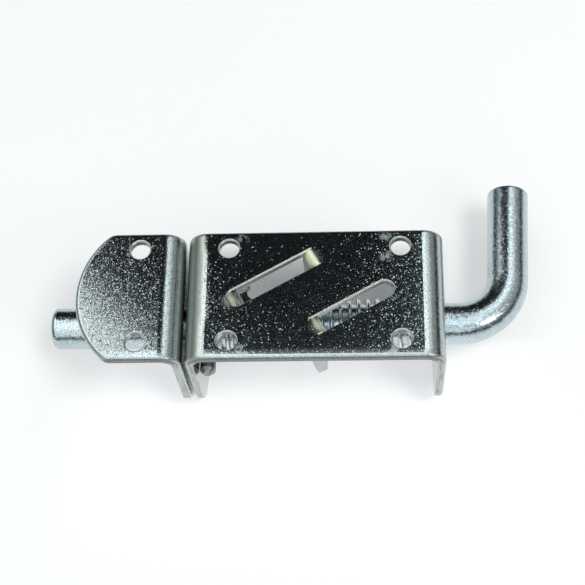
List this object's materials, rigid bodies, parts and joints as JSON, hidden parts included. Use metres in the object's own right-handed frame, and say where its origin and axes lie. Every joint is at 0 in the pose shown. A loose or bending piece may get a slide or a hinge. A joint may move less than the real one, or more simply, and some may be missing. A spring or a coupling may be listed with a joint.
{
  "type": "spring bolt",
  "caption": "Spring-loaded slide bolt: a round bar with a bent handle runs in a folded plate housing and enters a D-shaped keeper bracket.",
  "frame": {"origin": "centre of the housing's four-screw pattern, on the plate's outer face", "axes": "+X along the rod towards the handle, +Z out of the plate, away from the rod, so the legs stand in -Z"},
  "size_m": [0.1403, 0.0619, 0.041],
  "materials": {
    "zinc_sheet": "bright zinc plate on rolled sheet, finely speckled",
    "zinc_rod": "bright zinc plate on drawn bar",
    "dark_pin": "dark, dull zinc plate",
    "zinc_washer": "zinc plate",
    "spring_wire": "bright spring wire"
  },
  "bodies": {
    "frame": {"housing": "zinc_sheet", "return_spring": "spring_wire"},
    "slider": {"spring_washer": "zinc_washer"},
    "bolt": {"bolt_rod": "zinc_rod", "cross_pin": "dark_pin"},
    "keeper": {"keeper": "zinc_sheet"}
  },
  "joints": [
    {"name": "bolt_slide", "type": "slide", "parent": "frame", "child": "slider", "axis": [1, 0, 0], "range_m": [0, 0.025], "stiffness_N_per_m": 350, "springref_m": -0.02, "deforming": ["return_spring"]},
    {"name": "handle_turn", "type": "hinge", "parent": "slider", "child": "bolt", "pos_m": [0, 0, -0.023], "axis": [1, 0, 0], "range_deg": [-203, 23]},
    {"name": "keeper_slide", "type": "slide", "parent": "frame", "child": "keeper", "axis": [-1, 0, 0], "range_m": [0, 0.045]}
  ]
}
